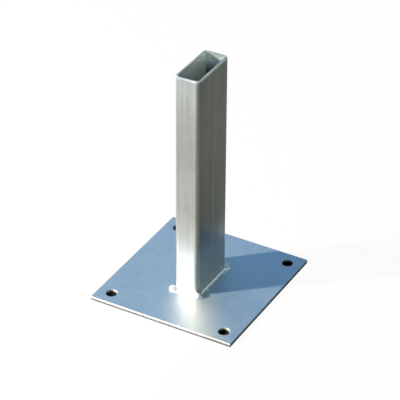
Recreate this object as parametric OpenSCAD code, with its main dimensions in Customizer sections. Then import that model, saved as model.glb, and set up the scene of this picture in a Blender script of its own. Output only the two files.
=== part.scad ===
// Base plate socket for a rectangular sign post.
// A flat plate with a bolt hole near each corner carries an upright rectangular tube, welded on
// all round its foot. The post slides over the tube. X runs along the tube's long side, Z is up,
// and the origin is at the middle of the plate's underside.

/* [Base plate] */
// Length of the plate, along the tube's long side
plate_l = 200; // [160:1:300]
// Width of the plate, along the tube's short side
plate_w = 193; // [150:1:300]
// Thickness of the plate
plate_t = 4; // [3:0.5:12]
// Bevel that breaks the plate's edges
plate_bevel = 0.4; // [0.2:0.1:1]

/* [Bolt holes] */
// Diameter of the bolt holes
hole_d = 14; // [8:0.5:18]
// Distance from the plate's edges to the middle of each hole
hole_inset = 18.5; // [14:0.5:30]
// Bevel around the top of each hole
hole_bevel = 0.4; // [0.2:0.1:1]

/* [Socket tube] */
// Long side of the tube, outside
tube_l = 72; // [60:1:90]
// Short side of the tube, outside
tube_w = 33; // [26:1:50]
// Wall of the tube
tube_wall = 3; // [2:0.5:4]
// Radius of the tube's corners, inside
tube_bend_r = 3; // [1:0.5:4]
// Height of the tube above the plate
tube_h = 300; // [120:1:500]
// Bevel on the outer edge of the tube's rim, where the saw cut was dressed
rim_bevel_out = 1; // [0.2:0.1:1.2]
// Bevel on the inner edge of the tube's rim
rim_bevel_in = 0.3; // [0.1:0.1:0.6]

/* [Welds] */
// How far the weld reaches out over the plate
weld_out = 7; // [5:0.5:10]
// How far the weld reaches up the tube
weld_up = 5; // [4:0.5:10]
// How far the face of the weld swells past a flat one
weld_crown = 1; // [0.5:0.25:1.5]
// Radius of the lump where two runs of weld meet at a corner
lump_r = 4.5; // [3:0.25:5]
// How far the middle of that lump lies outside the tube's corner
lump_out = 4; // [3:0.25:6]
// Height of the middle of that lump above the plate
lump_lift = 1.5; // [0:0.25:3]

/* [Hidden] */
$fn = 64;
// How far a cutting tool runs past the surface that it cuts
overcut = 1;
// Outer radius of the tube's corners, and how far their centres lie from the tube's axis
tube_corner_r = tube_bend_r + tube_wall;
corner_x = tube_l / 2 - tube_corner_r;
corner_y = tube_w / 2 - tube_corner_r;
// How far the middles of the bolt holes lie from the plate's middle
hole_x = plate_l / 2 - hole_inset;
hole_y = plate_w / 2 - hole_inset;
// Turns about the tube's axis that bring a side from +X to its place, and a corner with it
RIGHT = 0;
BACK = 90;
LEFT = 180;
FRONT = 270;
// The weld's face is an arc through both its toes, swollen by weld_crown at its middle
face_chord = norm([weld_out, weld_up]);
face_r = (pow(face_chord / 2, 2) + pow(weld_crown, 2)) / (2 * weld_crown);
face_dir = [weld_up, weld_out] / face_chord;
face_centre = [weld_out, weld_up] / 2 - face_dir * (face_r - weld_crown);

zinc_plate = [0.60, 0.68, 0.77];
zinc_tube = [0.68, 0.70, 0.68];
weld_metal = [0.82, 0.84, 0.85];

// Section of a flat bar, its width along X and its thickness along Y, with its edges broken
module bar_section(width, thickness, bevel) {
    x = width / 2;
    polygon([
        [bevel - x, 0], [x - bevel, 0], [x, bevel], [x, thickness - bevel],
        [x - bevel, thickness], [bevel - x, thickness], [-x, thickness - bevel], [-x, bevel]
    ]);
}

// Section of the tube's wall, with the rim's edges broken. X of a section that goes round the
// tube points out of it from its outer face, and Y points up from the plate.
module wall_section() {
    polygon([
        [-tube_wall, 0], [0, 0], [0, tube_h - rim_bevel_out], [-rim_bevel_out, tube_h],
        [rim_bevel_in - tube_wall, tube_h], [-tube_wall, tube_h - rim_bevel_in]
    ]);
}

// Section of the weld, a fillet with its root where the tube meets the plate. It runs a little
// into both, and they cut it off flush.
module weld_section() {
    intersection() {
        translate([-overcut, -overcut])
            square([weld_out + overcut, weld_up + overcut]);
        translate(face_centre)
            circle(r = face_r);
    }
}

// Carries a section along the flat of one side of the tube
module along_side(turn) {
    faces_x = turn == RIGHT || turn == LEFT;
    reach = faces_x ? tube_l / 2 : tube_w / 2;
    flat = faces_x ? 2 * corner_y : 2 * corner_x;
    rotate([0, 0, turn])
        translate([reach, 0, 0])
            rotate([90, 0, 0])
                linear_extrude(height = flat, center = true)
                    children();
}

// Brings a shape from the first quadrant to the corner that follows a side, counter-clockwise
module at_corner(turn) {
    x = turn == RIGHT || turn == FRONT ? corner_x : -corner_x;
    y = turn == RIGHT || turn == BACK ? corner_y : -corner_y;
    translate([x, y, 0])
        rotate([0, 0, turn])
            children();
}

// Carries a section round the bend of that corner
module round_corner(turn) {
    at_corner(turn)
        rotate_extrude(angle = 90)
            translate([tube_corner_r, 0])
                children();
}

// Lump of weld metal against that corner
module corner_lump(turn) {
    at_corner(turn)
        rotate([0, 0, 45])
            translate([tube_corner_r + lump_out, 0, lump_lift])
                sphere(r = lump_r);
}

// What the weld is cut off against: the foot of the tube, and the plate under it
module tube_and_plate() {
    translate([0, 0, -overcut])
        linear_extrude(height = tube_h) {
            square([tube_l, 2 * corner_y], center = true);
            square([2 * corner_x, tube_w], center = true);
            for (x = [-corner_x, corner_x], y = [-corner_y, corner_y])
                translate([x, y])
                    circle(r = tube_corner_r);
        }
    translate([-plate_l / 2, -plate_w / 2, -plate_t])
        cube([plate_l, plate_w, plate_t]);
}

// Run of weld along one flat of the tube, and round those corners that are listed
module weld_run(turn, corners) {
    color(weld_metal)
        translate([0, 0, plate_t])
            difference() {
                union() {
                    along_side(turn)
                        weld_section();
                    for (corner = corners) {
                        round_corner(corner)
                            weld_section();
                        corner_lump(corner);
                    }
                }
                tube_and_plate();
            }
}

module base_plate() {
    color(zinc_plate)
        difference() {
            intersection() {
                rotate([90, 0, 0])
                    linear_extrude(height = plate_w, center = true)
                        bar_section(plate_l, plate_t, plate_bevel);
                rotate([90, 0, 90])
                    linear_extrude(height = plate_l, center = true)
                        bar_section(plate_w, plate_t, plate_bevel);
            }
            for (x = [-hole_x, hole_x], y = [-hole_y, hole_y])
                translate([x, y, 0]) {
                    translate([0, 0, -overcut])
                        cylinder(d = hole_d, h = plate_t + 2 * overcut);
                    translate([0, 0, plate_t - hole_bevel])
                        cylinder(d1 = hole_d, d2 = hole_d + 4 * hole_bevel, h = 2 * hole_bevel);
                }
        }
}

module socket_tube() {
    color(zinc_tube)
        translate([0, 0, plate_t])
            for (turn = [RIGHT, BACK, LEFT, FRONT]) {
                along_side(turn)
                    wall_section();
                round_corner(turn)
                    wall_section();
            }
}

module weld_front() {
    weld_run(FRONT, [LEFT, FRONT]);
}

module weld_back() {
    weld_run(BACK, [RIGHT, BACK]);
}

module weld_left() {
    weld_run(LEFT, []);
}

module weld_right() {
    weld_run(RIGHT, []);
}

base_plate();
socket_tube();
weld_front();
weld_back();
weld_left();
weld_right();
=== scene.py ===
import math

import bpy
from mathutils import Matrix, Vector, noise


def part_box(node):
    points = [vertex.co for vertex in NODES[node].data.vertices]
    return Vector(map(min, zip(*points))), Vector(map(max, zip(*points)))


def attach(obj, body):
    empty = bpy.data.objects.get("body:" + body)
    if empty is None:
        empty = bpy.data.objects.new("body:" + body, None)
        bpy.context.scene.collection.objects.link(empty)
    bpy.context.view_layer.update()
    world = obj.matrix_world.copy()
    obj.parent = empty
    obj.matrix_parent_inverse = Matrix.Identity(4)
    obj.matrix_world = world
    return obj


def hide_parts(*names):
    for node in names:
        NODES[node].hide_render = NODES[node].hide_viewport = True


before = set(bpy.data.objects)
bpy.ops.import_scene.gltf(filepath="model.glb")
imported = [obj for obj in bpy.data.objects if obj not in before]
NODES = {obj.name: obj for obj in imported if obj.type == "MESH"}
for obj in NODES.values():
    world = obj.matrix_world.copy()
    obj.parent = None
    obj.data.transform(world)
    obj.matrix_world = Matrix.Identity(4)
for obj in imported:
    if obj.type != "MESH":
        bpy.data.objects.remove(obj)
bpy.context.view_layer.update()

MM = 0.001

# Where the solids lie, read from the frame
PLATE_LOW, PLATE_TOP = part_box("base_plate")
TUBE_LOW, TUBE_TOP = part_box("socket_tube")
WELD_BASE = PLATE_TOP.z  # height of the surface that the welds lie on
TUBE_BEND = 6 * MM  # outer radius of the tube's corners
INSIDE_FROM = 2.5 * MM  # deeper than this from its outer faces, a place is on the inside of the tube


# Camera, set to the edges of the plate, tube and holes in the photograph
PHOTO = 400  # pixels along each side of the photograph
FOCAL_PX = 2195.2
CAMERA_AZIMUTH = math.radians(-60.78)
CAMERA_HEIGHT = math.radians(33.50)
CAMERA_ROLL = math.radians(-0.38)
CAMERA_DISTANCE = 2.660
CAMERA_TARGET = Vector((0.0187, 0.0117, 0.104))
SENSOR = 36.0  # width in millimetres, the unit that the lens is set in
FARTHEST_SEEN = 20


def make_camera():
    back = Vector((
        math.sin(CAMERA_AZIMUTH) * math.cos(CAMERA_HEIGHT),
        -math.cos(CAMERA_AZIMUTH) * math.cos(CAMERA_HEIGHT),
        math.sin(CAMERA_HEIGHT),
    ))
    data = bpy.data.cameras.new("camera")
    data.sensor_width = SENSOR
    data.lens = FOCAL_PX / PHOTO * SENSOR
    data.clip_end = FARTHEST_SEEN
    camera = bpy.data.objects.new("camera", data)
    bpy.context.scene.collection.objects.link(camera)
    turn = back.to_track_quat("Z", "Y").to_matrix().to_4x4()
    camera.matrix_world = (
        Matrix.Translation(CAMERA_TARGET + back * CAMERA_DISTANCE)
        @ turn
        @ Matrix.Rotation(-CAMERA_ROLL, 4, "Z")
    )
    bpy.context.scene.camera = camera


# Colours of the zinc on the plate
PLATE_DARK = (0.285, 0.40, 0.54, 1)
PLATE_LIGHT = (0.325, 0.435, 0.575, 1)
PLATE_PALE = (0.40, 0.49, 0.60, 1)
# painted glare: light reflected off the tube's left face onto the plate
PLATE_PAINTED_GLARE = (0.54, 0.575, 0.60, 1)
PLATE_EDGE = (0.50, 0.51, 0.51, 1)
# painted shade on the lower part of the plate's edges, a thin contact shadow
PLATE_EDGE_SHADE = (0.17, 0.15, 0.14, 1)
# Colours of the zinc on the tube
TUBE_DARK = (0.31, 0.335, 0.33, 1)
TUBE_LIGHT = (0.40, 0.425, 0.42, 1)
TUBE_PALE = (0.53, 0.55, 0.55, 1)
TUBE_DULL = (0.22, 0.235, 0.23, 1)
TUBE_WORN = (0.58, 0.59, 0.58, 1)
TUBE_CUT = (0.31, 0.315, 0.31, 1)
TUBE_DRESSED = (0.55, 0.575, 0.59, 1)
TUBE_DRESSED_FRONT = (0.70, 0.65, 0.57, 1)
# painted glare low on the left face, light reflected up off the plate
TUBE_FOOT_GLARE = (0.80, 0.80, 0.785, 1)
# painted shade on the front face
TUBE_PAINTED_SHADE = (0.11, 0.13, 0.12, 1)
TUBE_WARM = (0.68, 0.56, 0.385, 1)
TUBE_COOL = (0.50, 0.60, 0.70, 1)
# inside the tube: painted light on the long walls, painted shade on the short walls below the rim
TUBE_INSIDE_PAINTED_LIGHT = (0.93, 1.0, 0.97, 1)
TUBE_INSIDE_PAINTED_SHADE = (0.27, 0.295, 0.28, 1)
TUBE_INSIDE_TOP = (0.77, 0.89, 1.0, 1)
# Colours of the zinc on the welds
WELD_DARK = (0.36, 0.38, 0.37, 1)
WELD_LIGHT = (0.50, 0.52, 0.51, 1)
# painted highlight low on the welds and painted light on the left run, warmer along the front
WELD_PAINTED_LIGHT = (0.95, 0.93, 0.87, 1)
WELD_PAINTED_LIGHT_WARM = (0.95, 0.80, 0.65, 1)
# painted shade on the front of the lump at the left front corner
WELD_PAINTED_SHADE = (0.25, 0.235, 0.235, 1)

# Finish of the zinc: least and greatest roughness, what fine lines add to it, and share of metal
PLATE_ROUGH = (0.50, 0.56)
PLATE_GRAIN_ROUGH = (-0.02, 0.03)
PLATE_METAL = 0.85
TUBE_ROUGH = (0.33, 0.38)
TUBE_LINES_ROUGH = (-0.02, 0.02)
TUBE_CUT_ROUGHER = 0.15
TUBE_METAL = 0.88
TUBE_DRAWN = 0.5  # how much the lines along the tube spread its gloss sideways
WELD_ROUGH = (0.20, 0.32)
WELD_LEFT_ROUGHER = 0.2
WELD_METAL = 0.9

# Values of a noise over which a change runs, most of its range or a little less of it
WIDE = (0.3, 0.7)
NARROW = (0.35, 0.65)
# How squarely a surface faces along an axis, or back along it, where a change starts and ends
FACES = (0.8, 0.95)
FACES_BACK = (-0.8, -0.95)

# A band of painted glare on the plate, light reflected off the tube's left face, from the left face to
# the
# front corner: a point on its middle, the way across it and the way it runs
BAND_FROM = (-40 * MM, -5 * MM)
BAND_ACROSS = (-0.6, 0.8)
BAND_WAY = (-0.8, -0.6)
# Distances over which it fades in, on the left and right of the way it runs and at its start
BAND_LEFT = (46 * MM, 4 * MM)
BAND_RIGHT = (-46 * MM, 12 * MM)
BAND_START = (-14 * MM, 12 * MM)

# The lower parts of the plate's sheared edges turn to painted shade, a contact shadow, over these
# heights, which wander by this much
EDGE_SHADE_STARTS = (1.7 * MM, 1.3 * MM)
EDGE_SHADE_WANDER = 0.3 * MM

# Heights over which the tones of the tube change, and the most of each tone
LEFT_DULL_STARTS = (150 * MM, 200 * MM)
LEFT_DULL_ENDS = (275 * MM, 215 * MM)
LEFT_DULL_MOST = 0.3
# painted glare low on the left face
LEFT_GLARE_ENDS = (12 * MM, 128 * MM)
LEFT_GLARE_MOST = 0.72
LEFT_COOL_STARTS = (262 * MM, 300 * MM)
LEFT_COOL_MOST = 0.22
# painted shade on the front face
FRONT_SHADE_STARTS = (60 * MM, 88 * MM)
FRONT_SHADE_ENDS = (105 * MM, 220 * MM)
FRONT_SHADE_MOST = 0.42
FRONT_WARM_ENDS = (15 * MM, 70 * MM)
FRONT_WARM_MOST = 0.9
INSIDE_TOP_STARTS = (280 * MM, 293 * MM)
WEAR_STARTS = (TUBE_TOP.z - 2.6 * MM, TUBE_TOP.z - 1.6 * MM)
WEAR_WANDER = 0.8 * MM
WEAR_MOST = 0.8

# Heights above the plate, and places along X and Y, over which the tones of the welds change
# painted highlight on the lower half of the welds
HIGHLIGHT_ENDS = (1.5 * MM, 2.2 * MM)
TOE_ENDS = (0.7 * MM, 0.4 * MM)
WELD_FRONT = (TUBE_LOW.y + 1 * MM, TUBE_LOW.y - 1 * MM)
# painted shade on the front of the lump at the left front corner
WELD_SHADE_SPAN = (TUBE_LOW.x + 9 * MM, TUBE_LOW.x + 5 * MM)
WELD_SHADE_MOST = 0.8
# painted light on the weld run along the left face
WELD_LEFT = (TUBE_LOW.x + 1.5 * MM, TUBE_LOW.x - 0.5 * MM)
WELD_LEFT_MOST = 0.85
ANYWHERE = 1.0  # farther from the tube's axis than any weld


class Shader:
    """A node material, with short calls for the nodes that this scene uses."""

    def __init__(self, name):
        self.material = bpy.data.materials.new(name)
        self.material.use_nodes = True
        self.tree = self.material.node_tree
        self.tree.nodes.clear()
        self.output = self.add("ShaderNodeOutputMaterial")
        self.where = self.add("ShaderNodeTexCoord").outputs["Object"]

    def add(self, kind, **settings):
        node = self.tree.nodes.new(kind)
        for key, value in settings.items():
            setattr(node, key, value)
        return node

    def link(self, source, socket):
        self.tree.links.new(source, socket)

    def put(self, socket, value):
        if isinstance(value, bpy.types.NodeSocket):
            self.link(value, socket)
        else:
            socket.default_value = value

    def noise(self, size, detail=3.0, rough=0.55, stretch=(1, 1, 1)):
        """Noise with lumps of about size metres, drawn out along the axes where stretch is over 1."""
        mapping = self.add("ShaderNodeMapping")
        self.link(self.where, mapping.inputs["Vector"])
        mapping.inputs["Scale"].default_value = [1 / (size * s) for s in stretch]
        node = self.add("ShaderNodeTexNoise")
        self.link(mapping.outputs["Vector"], node.inputs["Vector"])
        node.inputs["Scale"].default_value = 1.0
        node.inputs["Detail"].default_value = detail
        node.inputs["Roughness"].default_value = rough
        return node.outputs["Fac"]

    def span(self, value, limits, to_low=0.0, to_high=1.0, kind="LINEAR"):
        """From to_low where value is the first limit to to_high where it is the second."""
        node = self.add("ShaderNodeMapRange", interpolation_type=kind)
        self.put(node.inputs["Value"], value)
        node.inputs["From Min"].default_value = limits[0]
        node.inputs["From Max"].default_value = limits[1]
        node.inputs["To Min"].default_value = to_low
        node.inputs["To Max"].default_value = to_high
        return node.outputs["Result"]

    def smooth(self, value, limits):
        """0 at the first limit and 1 at the second, with a soft start and end."""
        return self.span(value, limits, kind="SMOOTHSTEP")

    def maths(self, operation, a, b=0.0):
        node = self.add("ShaderNodeMath", operation=operation)
        self.put(node.inputs[0], a)
        self.put(node.inputs[1], b)
        return node.outputs["Value"]

    def plus(self, a, b):
        return self.maths("ADD", a, b)

    def times(self, first, *others):
        product = first
        for other in others:
            product = self.maths("MULTIPLY", product, other)
        return product

    def mix(self, factor, a, b):
        """Colour that is a where factor is 0 and b where it is 1."""
        node = self.add("ShaderNodeMix", data_type="RGBA")
        self.put(node.inputs[0], factor)
        self.put(node.inputs[6], a)
        self.put(node.inputs[7], b)
        return node.outputs[2]

    def bump(self, height, depth, before=None):
        """Relief whose height runs from 0 to 1 over depth metres."""
        node = self.add("ShaderNodeBump")
        self.link(height, node.inputs["Height"])
        node.inputs["Distance"].default_value = depth
        node.inputs["Strength"].default_value = 1.0
        if before is not None:
            self.link(before, node.inputs["Normal"])
        return node.outputs["Normal"]

    def part(self, vector, axis):
        parts = self.add("ShaderNodeSeparateXYZ")
        self.link(vector, parts.inputs[0])
        return parts.outputs[axis]

    def place(self, axis):
        """Place of the surface along an axis of the object."""
        return self.part(self.where, axis)

    def normal(self, axis):
        """How squarely the surface faces along an axis, negative where it faces back."""
        return self.part(self.add("ShaderNodeNewGeometry").outputs["True Normal"], axis)

    def facing(self, axis):
        """How squarely the surface faces along an axis, either way."""
        return self.maths("ABSOLUTE", self.normal(axis))

    def beside(self, point, way):
        """Distance from a line over the plate through point, positive on the left of its way."""
        from_x = self.maths("SUBTRACT", self.place("X"), point[0])
        from_y = self.maths("SUBTRACT", self.place("Y"), point[1])
        return self.plus(self.times(from_x, -way[1]), self.times(from_y, way[0]))

    def within(self, x, y):
        """1 where the surface lies closer to the tube's axis than x and y, and 0 elsewhere."""
        near_x = self.maths("LESS_THAN", self.maths("ABSOLUTE", self.place("X")), x)
        near_y = self.maths("LESS_THAN", self.maths("ABSOLUTE", self.place("Y")), y)
        return self.times(near_x, near_y)

    def finish(self, color, rough, normal, metallic, drawn=0.0):
        shader = self.add("ShaderNodeBsdfPrincipled")
        self.link(color, shader.inputs["Base Color"])
        self.link(rough, shader.inputs["Roughness"])
        self.link(normal, shader.inputs["Normal"])
        shader.inputs["Metallic"].default_value = metallic
        if drawn:
            # Lines along Z spread the gloss sideways
            shader.inputs["Anisotropic"].default_value = drawn
            around = self.add("ShaderNodeTangent", direction_type="RADIAL", axis="Z")
            self.link(around.outputs[0], shader.inputs["Tangent"])
        self.link(shader.outputs[0], self.output.inputs["Surface"])
        return self.material


def plate_zinc():
    """Sheet with a fine rolled grain along X, soft clouding and a few light scuffs."""
    s = Shader("plate_zinc")
    height = s.place("Z")
    grain = s.noise(0.8 * MM, stretch=(40, 1, 1), detail=4)
    cloud = s.noise(45 * MM, detail=4)
    blotch = s.noise(7 * MM, detail=5, rough=0.6)
    scuff = s.noise(1.0 * MM, stretch=(3, 18, 1), detail=3)
    color = s.mix(s.span(cloud, NARROW), PLATE_DARK, PLATE_LIGHT)
    color = s.mix(s.span(blotch, (0.45, 0.75), 0, 0.30), color, PLATE_PALE)
    color = s.mix(s.span(scuff, (0.62, 0.78), 0, 0.4), color, PLATE_PALE)
    color = s.mix(s.span(grain, WIDE, 0, 0.22), color, PLATE_DARK)
    # Its upper side takes painted glare, light reflected off the tube's left face, in a band that runs
    # from the left face to the front corner
    side = s.beside(BAND_FROM, BAND_WAY)
    ahead = s.beside(BAND_FROM, BAND_ACROSS)
    across = s.times(s.smooth(side, BAND_LEFT), s.smooth(side, BAND_RIGHT))
    upper = s.span(s.normal("Z"), (0.6, 0.9))
    color = s.mix(s.times(across, s.smooth(ahead, BAND_START), upper), color, PLATE_PAINTED_GLARE)
    # The sheared edges are bright above, and dark below with painted shade, a thin contact shadow
    wander = s.span(s.noise(3 * MM, detail=4), NARROW, -EDGE_SHADE_WANDER, EDGE_SHADE_WANDER)
    edge = s.mix(s.span(s.plus(height, wander), EDGE_SHADE_STARTS), PLATE_EDGE, PLATE_EDGE_SHADE)
    color = s.mix(s.span(s.facing("Z"), (0.9, 0.6), 0, 0.95), color, edge)
    rough = s.plus(s.span(blotch, WIDE, *PLATE_ROUGH), s.span(grain, WIDE, *PLATE_GRAIN_ROUGH))
    normal = s.bump(grain, 0.006 * MM)
    normal = s.bump(blotch, 0.03 * MM, before=normal)
    return s.finish(color, rough, normal, PLATE_METAL)


def tube_faces(s, color):
    """The tones of the tube's left and front faces over its streaks."""
    height = s.place("Z")
    # The left face is dull two thirds of the way up, cooler by the rim and brightest by the weld with
    # painted glare, light reflected up off the plate
    left = s.span(s.normal("X"), FACES_BACK)
    dull = s.times(s.smooth(height, LEFT_DULL_STARTS), s.smooth(height, LEFT_DULL_ENDS), LEFT_DULL_MOST)
    color = s.mix(s.times(dull, left), color, TUBE_DULL)
    pale = s.span(height, LEFT_GLARE_ENDS, LEFT_GLARE_MOST, 0)
    color = s.mix(s.times(pale, left), color, TUBE_FOOT_GLARE)
    cool = s.span(height, LEFT_COOL_STARTS, 0, LEFT_COOL_MOST)
    color = s.mix(s.times(cool, left), color, TUBE_COOL)
    # The front face has painted shade a third of the way up, and is warmer by the weld
    front = s.span(s.normal("Y"), FACES_BACK)
    painted_shade = s.span(height, FRONT_SHADE_STARTS, 0, FRONT_SHADE_MOST)
    painted_shade = s.times(painted_shade, s.span(height, FRONT_SHADE_ENDS, 1, 0))
    color = s.mix(s.times(painted_shade, front), color, TUBE_PAINTED_SHADE)
    warm = s.span(height, FRONT_WARM_ENDS, FRONT_WARM_MOST, 0)
    return s.mix(s.times(warm, front), color, TUBE_WARM)


def tube_zinc():
    """Drawn tube with streaks along its length, and a paler rim where it was sawn and deburred."""
    s = Shader("tube_zinc")
    height = s.place("Z")
    lines = s.noise(0.9 * MM, stretch=(1, 1, 300), detail=4, rough=0.7)
    streaks = s.noise(2.4 * MM, stretch=(1, 1, 90), detail=3, rough=0.6)
    bands = s.noise(9 * MM, stretch=(1, 1, 60), detail=3)
    blotch = s.noise(5 * MM, stretch=(1, 1, 1.8), detail=5)
    stain = s.noise(11 * MM, stretch=(1, 1, 1.6), detail=6, rough=0.65)
    color = s.mix(s.span(bands, NARROW), TUBE_DARK, TUBE_LIGHT)
    color = s.mix(s.span(streaks, (0.48, 0.72), 0, 0.45), color, TUBE_PALE)
    color = s.mix(s.span(streaks, (0.45, 0.30), 0, 0.45), color, TUBE_DULL)
    color = s.mix(s.span(stain, (0.50, 0.70), 0, 0.35), color, TUBE_DULL)
    color = tube_faces(s, color)
    # Specks of zinc stand on it here and there
    speck = s.noise(1.6 * MM, detail=1)
    color = s.mix(s.span(speck, (0.74, 0.80), 0, 0.7), color, TUBE_WORN)
    # The wall's inside has painted light on its long sides, and painted shade on its short ones below
    # the rim
    short = s.mix(s.span(height, INSIDE_TOP_STARTS), TUBE_INSIDE_PAINTED_SHADE, TUBE_INSIDE_TOP)
    inside = s.mix(s.span(s.facing("X"), (0.4, 0.9)), TUBE_INSIDE_PAINTED_LIGHT, short)
    color = s.mix(s.within(TUBE_TOP.x - INSIDE_FROM, TUBE_TOP.y - INSIDE_FROM), color, inside)
    # The rim is worn pale down its sides, dressed along its bevels and left as cut on top
    wander = s.span(blotch, NARROW, -WEAR_WANDER, WEAR_WANDER)
    color = s.mix(s.span(s.plus(height, wander), WEAR_STARTS, 0, WEAR_MOST), color, TUBE_WORN)
    dressed = s.mix(s.span(s.normal("Y"), (-0.3, -0.5)), TUBE_DRESSED, TUBE_DRESSED_FRONT)
    color = s.mix(s.span(s.facing("Z"), (0.5, 0.7)), color, dressed)
    cut = s.span(s.facing("Z"), FACES)
    color = s.mix(cut, color, s.mix(s.span(blotch, (0.4, 0.6), 0, 0.5), TUBE_CUT, TUBE_PALE))
    rough = s.plus(s.span(bands, WIDE, *TUBE_ROUGH), s.span(lines, WIDE, *TUBE_LINES_ROUGH))
    rough = s.plus(rough, s.times(cut, TUBE_CUT_ROUGHER))
    normal = s.bump(lines, 0.003 * MM)
    normal = s.bump(blotch, 0.02 * MM, before=normal)
    return s.finish(color, rough, normal, TUBE_METAL, drawn=TUBE_DRAWN)


def weld_zinc():
    """Weld metal, with a painted highlight low down, and spattered all over."""
    s = Shader("weld_zinc")
    spatter = s.noise(0.8 * MM, detail=4)
    cloud = s.noise(5 * MM, detail=3)
    color = s.mix(s.span(cloud, NARROW), WELD_DARK, WELD_LIGHT)
    # The lower half takes a painted highlight, apart from the toe on the long sides, and warmer along
    # the front
    level = s.maths("SUBTRACT", s.place("Z"), WELD_BASE)
    toe = s.times(s.within(TUBE_TOP.x, ANYWHERE), s.span(level, TOE_ENDS))
    highlight = s.maths("SUBTRACT", s.span(level, HIGHLIGHT_ENDS, 1, 0), toe)
    front = s.span(s.place("Y"), WELD_FRONT)
    color = s.mix(highlight, color, s.mix(front, WELD_PAINTED_LIGHT, WELD_PAINTED_LIGHT_WARM))
    # Painted shade darkens the front of the lump between the front and left faces
    painted_shade = s.times(s.span(s.place("X"), WELD_SHADE_SPAN, 0, WELD_SHADE_MOST), front)
    color = s.mix(painted_shade, color, WELD_PAINTED_SHADE)
    # The run along the left face takes painted light all over, and is rougher
    left = s.span(s.place("X"), WELD_LEFT, 0, WELD_LEFT_MOST)
    color = s.mix(left, color, WELD_PAINTED_LIGHT)
    rough = s.plus(s.span(spatter, WIDE, *WELD_ROUGH), s.times(left, WELD_LEFT_ROUGHER))
    return s.finish(color, rough, s.bump(spatter, 0.04 * MM), WELD_METAL)


def dress(name, material):
    slots = NODES[name].data.materials
    slots.clear()
    slots.append(material)


dress("base_plate", plate_zinc())
dress("socket_tube", tube_zinc())
WELD_ZINC = weld_zinc()


# The weld beads, each swept along the foot of the tube in place of its plain solid. Their sizes are
# those between the lumps of metal at the corners, and what each lump adds at its middle.

BEAD_OUT = 6.3 * MM
BEAD_OUT_WANDER = 0.5 * MM
BEAD_UP = 4.7 * MM
BEAD_UP_WANDER = 0.4 * MM
LUMP_OUT = 1.9 * MM
LUMP_UP = 1.1 * MM
LUMP_SPREAD = 4.6 * MM  # distance from a lump's middle at which a third of it is left
# Powers that shape the two sections between which the bead changes, hollow and swollen
HOLLOW_POWER = 1.35
SWOLLEN_POWER = 0.9
# Share of the swollen section: how much it wanders, and what a lump adds
SWELL_WANDER = 0.075
LUMP_SWELL = 1.1
# Ripples across the bead, bowed at their middle, and the relief that they and a fine grit give it
RIPPLE = 1.7 * MM
RIPPLE_BOW = 1.1 * MM
RIPPLE_WANDER = 0.25
RIPPLE_POWER = 0.8
RIPPLE_LEVEL = 0.6
RIPPLE_HEIGHT = 0.12 * MM
LUMP_RIPPLE_HEIGHT = 0.14 * MM
GRIT = 1.5 * MM
GRIT_HEIGHT = 0.10 * MM
LUMP_GRIT_HEIGHT = 0.35 * MM
EDGE_SHARE = 0.2  # share of the section at each edge over which the relief fades in
# The root lies just inside the tube and the plate
ROOT = 0.2 * MM
ROOT_OUT = 6 * MM
ROOT_UP = 4 * MM

CORNER_RUN = 12.5 * MM  # length of a bead round one corner, at its middle
STEP = 0.22 * MM
RING = 26
FLAT_X = TUBE_TOP.x - TUBE_BEND
FLAT_Y = TUBE_TOP.y - TUBE_BEND

# The foot of the tube as stretches, counter-clockwise from the right: a flat is given by both its
# ends, a corner by its centre and its first angle
FLATS = {
    "right": ((TUBE_TOP.x, -FLAT_Y), (TUBE_TOP.x, FLAT_Y)),
    "back": ((FLAT_X, TUBE_TOP.y), (-FLAT_X, TUBE_TOP.y)),
    "left": ((-TUBE_TOP.x, FLAT_Y), (-TUBE_TOP.x, -FLAT_Y)),
    "front": ((-FLAT_X, -TUBE_TOP.y), (FLAT_X, -TUBE_TOP.y)),
}
CORNERS = {
    "right_back": ((FLAT_X, FLAT_Y), 0),
    "back_left": ((-FLAT_X, FLAT_Y), 90),
    "left_front": ((-FLAT_X, -FLAT_Y), 180),
    "front_right": ((FLAT_X, -FLAT_Y), 270),
}
ORDER = ["right", "right_back", "back", "back_left", "left", "left_front", "front", "front_right"]


def stretch_length(part):
    return math.dist(*FLATS[part]) if part in FLATS else CORNER_RUN


LENGTH = {part: stretch_length(part) for part in ORDER}
START = {part: sum(LENGTH[before] for before in ORDER[:i]) for i, part in enumerate(ORDER)}
ROUND = sum(LENGTH.values())


def smooth_noise(distance, scale, seed):
    """Noise along the bead, with lumps of about scale."""
    return noise.noise(Vector((distance / scale, seed * 7.3, seed * 1.7)))


def foot_point(part, along):
    """Point on the tube's foot and the way outwards there, along from 0 to 1 of a stretch."""
    if part in FLATS:
        low, high = (Vector(p) for p in FLATS[part])
        way = (high - low).normalized()
        return low.lerp(high, along), Vector((way.y, -way.x))
    centre, first = CORNERS[part]
    angle = math.radians(first + 90 * along)
    out = Vector((math.cos(angle), math.sin(angle)))
    return Vector(centre) + out * TUBE_BEND, out


def lump(run):
    """From 0 on the flats to 1 at the middle of a corner, where a blob of metal sits."""
    most = 0.0
    for part in CORNERS:
        middle = START[part] + LENGTH[part] / 2
        gap = abs((run - middle + ROUND / 2) % ROUND - ROUND / 2)
        most = max(most, math.exp(-(gap / LUMP_SPREAD) ** 2))
    return most


def relief(run, t, blob):
    """How far the face stands out at one point, t from 0 at the tube to 1 on the plate."""
    bow = 1 - (2 * t - 1) ** 2
    wave = (run + RIPPLE_BOW * bow) / RIPPLE + RIPPLE_WANDER * smooth_noise(run, 3 * MM, 4)
    crest = abs(math.sin(math.pi * wave)) ** RIPPLE_POWER
    grit = noise.noise(Vector((run / GRIT, 3.5 * t, 4.7)))
    ripples = (RIPPLE_HEIGHT + LUMP_RIPPLE_HEIGHT * blob) * (crest - RIPPLE_LEVEL)
    edge = min(1, t / EDGE_SHARE, (1 - t) / EDGE_SHARE)
    return edge * (ripples + (GRIT_HEIGHT + LUMP_GRIT_HEIGHT * blob) * grit)


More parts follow.
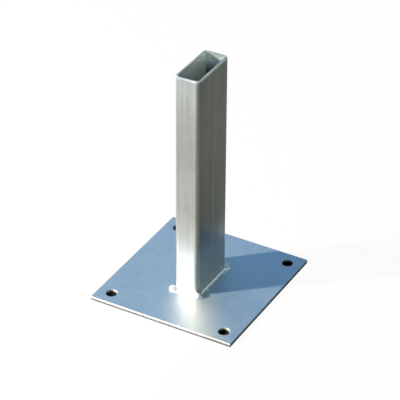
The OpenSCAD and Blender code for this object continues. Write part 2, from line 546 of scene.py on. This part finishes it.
def bead_section(run):
    """Reaches and heights of the bead's face at one place, from the tube down to the plate."""
    blob = lump(run)
    out = BEAD_OUT + BEAD_OUT_WANDER * smooth_noise(run, 5 * MM, 1) + LUMP_OUT * blob
    up = BEAD_UP + BEAD_UP_WANDER * smooth_noise(run, 4 * MM, 2) + LUMP_UP * blob
    swell = SWELL_WANDER * smooth_noise(run, 6 * MM, 3) + LUMP_SWELL * blob
    face = Vector((up, out)).normalized()
    points = []
    for i in range(RING + 1):
        t = i / RING
        angle = t * math.pi / 2
        hollow = Vector((
            out * (1 - math.cos(angle)) ** HOLLOW_POWER,
            up * (1 - math.sin(angle)) ** HOLLOW_POWER,
        ))
        swollen = Vector((out * math.sin(angle) ** SWOLLEN_POWER, up * math.cos(angle) ** SWOLLEN_POWER))
        points.append(hollow.lerp(swollen, swell) + face * relief(run, t, blob))
    return points


def bead_rows(parts):
    """Closed rings of points, one for each step along these stretches."""
    rows = []
    for part in parts:
        steps = round(LENGTH[part] / STEP)
        last = 1 if part == parts[-1] else 0
        for i in range(steps + last):
            along = i / steps
            foot, out = foot_point(part, along)
            section = list(bead_section(START[part] + along * LENGTH[part]))
            section += [(ROOT_OUT - ROOT, -ROOT), (-ROOT, -ROOT), (-ROOT, ROOT_UP)]
            rows.append([(foot.x + out.x * far, foot.y + out.y * far, WELD_BASE + high)
                         for far, high in section])
    return rows


def make_bead(name, node, parts):
    rows = bead_rows(parts)
    width = len(rows[0])
    points = [p for row in rows for p in row]
    faces = []
    for i in range(len(rows) - 1):
        for j in range(width):
            k = (j + 1) % width
            faces.append((i * width + j, i * width + k, (i + 1) * width + k, (i + 1) * width + j))
    ends = [tuple(range(width)), tuple(reversed(range(len(points) - width, len(points))))]
    mesh = bpy.data.meshes.new(name)
    mesh.from_pydata(points, [], faces + ends)
    mesh.polygons.foreach_set("use_smooth", [True] * len(faces) + [False] * len(ends))
    mesh.materials.append(WELD_ZINC)
    mesh.update()
    bead = bpy.data.objects.new(name, mesh)
    bpy.context.scene.collection.objects.link(bead)
    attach(bead, "root")
    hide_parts(node)


make_bead("bead_front", "weld_front", ["left_front", "front", "front_right"])
make_bead("bead_back", "weld_back", ["right_back", "back", "back_left"])
make_bead("bead_left", "weld_left", ["left"])
make_bead("bead_right", "weld_right", ["right"])


# The floor and the light

FLOOR_SIZE = 6.0
FLOOR_COLOR = (0.30, 0.30, 0.30, 1)
# The camera and mirrors see the floor as this share of white light over its own grey
FLOOR_GLOW_SHARE = 0.92
FLOOR_GLOW = 1.04
CARD_LIFT = 0.3 * MM
PAD_COLOR = (0.012, 0.014, 0.016, 1)
FLAG_COLOR = (0.21, 0.19, 0.15, 1)
SKY_COLOR = (0.515, 0.78, 1.0, 1)
SKY_STRENGTH = 0.68


def make_floor():
    bpy.ops.mesh.primitive_plane_add(size=FLOOR_SIZE, location=(0, 0, 0))
    floor = bpy.context.object
    floor.name = "floor"
    s = Shader("floor")
    paper = s.add("ShaderNodeBsdfDiffuse")
    paper.inputs["Color"].default_value = FLOOR_COLOR
    white = s.add("ShaderNodeEmission")
    white.inputs["Color"].default_value = (1, 1, 1, 1)
    white.inputs["Strength"].default_value = FLOOR_GLOW
    path = s.add("ShaderNodeLightPath")
    seen = s.maths("MAXIMUM", path.outputs["Is Camera Ray"], path.outputs["Is Glossy Ray"])
    seen = s.maths("MAXIMUM", seen, path.outputs["Is Transmission Ray"])
    mixed = s.add("ShaderNodeMixShader")
    s.link(s.times(seen, FLOOR_GLOW_SHARE), mixed.inputs[0])
    s.link(paper.outputs[0], mixed.inputs[1])
    s.link(white.outputs[0], mixed.inputs[2])
    s.link(mixed.outputs[0], s.output.inputs["Surface"])
    floor.data.materials.append(s.material)


def make_card(name, low, high, color, seen):
    """A flat card on the floor. One that isn't to be seen is mirrored in the object all the same."""
    corners = [(low[0], low[1]), (high[0], low[1]), (high[0], high[1]), (low[0], high[1])]
    mesh = bpy.data.meshes.new(name)
    mesh.from_pydata([(x, y, CARD_LIFT) for x, y in corners], [], [(0, 1, 2, 3)])
    card = bpy.data.objects.new(name, mesh)
    bpy.context.scene.collection.objects.link(card)
    s = Shader(name)
    paper = s.add("ShaderNodeBsdfDiffuse")
    paper.inputs["Color"].default_value = color
    s.link(paper.outputs[0], s.output.inputs["Surface"])
    mesh.materials.append(s.material)
    card.visible_camera = seen
    card.visible_shadow = seen


def make_cards():
    # The ground under the plate is dark, as the bolt holes show; the card reaches just past the plate's
    # left and front edges as a painted contact shadow
    low = (PLATE_LOW.x - 0.6 * MM, PLATE_LOW.y - 0.6 * MM)
    high = (PLATE_TOP.x - 2 * MM, PLATE_TOP.y - 1.5 * MM)
    make_card("pad", low, high, PAD_COLOR, True)
    # The front face mirrors darker ground before it
    make_card("flag", (-0.6, -0.9), (0.9, -0.06), FLAG_COLOR, False)


def make_world():
    world = bpy.data.worlds.new("studio")
    bpy.context.scene.world = world
    world.use_nodes = True
    back = world.node_tree.nodes["Background"]
    back.inputs["Color"].default_value = SKY_COLOR
    back.inputs["Strength"].default_value = SKY_STRENGTH


# The key light comes from behind on the left, low, as the tube's shadow on the plate shows
KEY_AZIMUTH = math.radians(131.7)
KEY_HEIGHT = math.radians(20)
KEY_DISTANCE = 2.5
KEY_SIZE = 0.16
KEY_WATTS = 270
KEY_COLOR = (1.0, 0.87, 0.68)
KEY_AIM = Vector((0, 0, 0.1))


def make_key():
    towards = Vector((
        math.cos(KEY_AZIMUTH) * math.cos(KEY_HEIGHT),
        math.sin(KEY_AZIMUTH) * math.cos(KEY_HEIGHT),
        math.sin(KEY_HEIGHT),
    ))
    data = bpy.data.lights.new("key", "AREA")
    data.shape = "DISK"
    data.size = KEY_SIZE
    data.energy = KEY_WATTS
    data.color = KEY_COLOR
    key = bpy.data.objects.new("key", data)
    bpy.context.scene.collection.objects.link(key)
    key.location = KEY_AIM + towards * KEY_DISTANCE
    key.rotation_euler = towards.to_track_quat("Z", "Y").to_euler()


bpy.context.scene.view_settings.view_transform = "Standard"
make_camera()
make_floor()
make_cards()
make_world()
make_key()
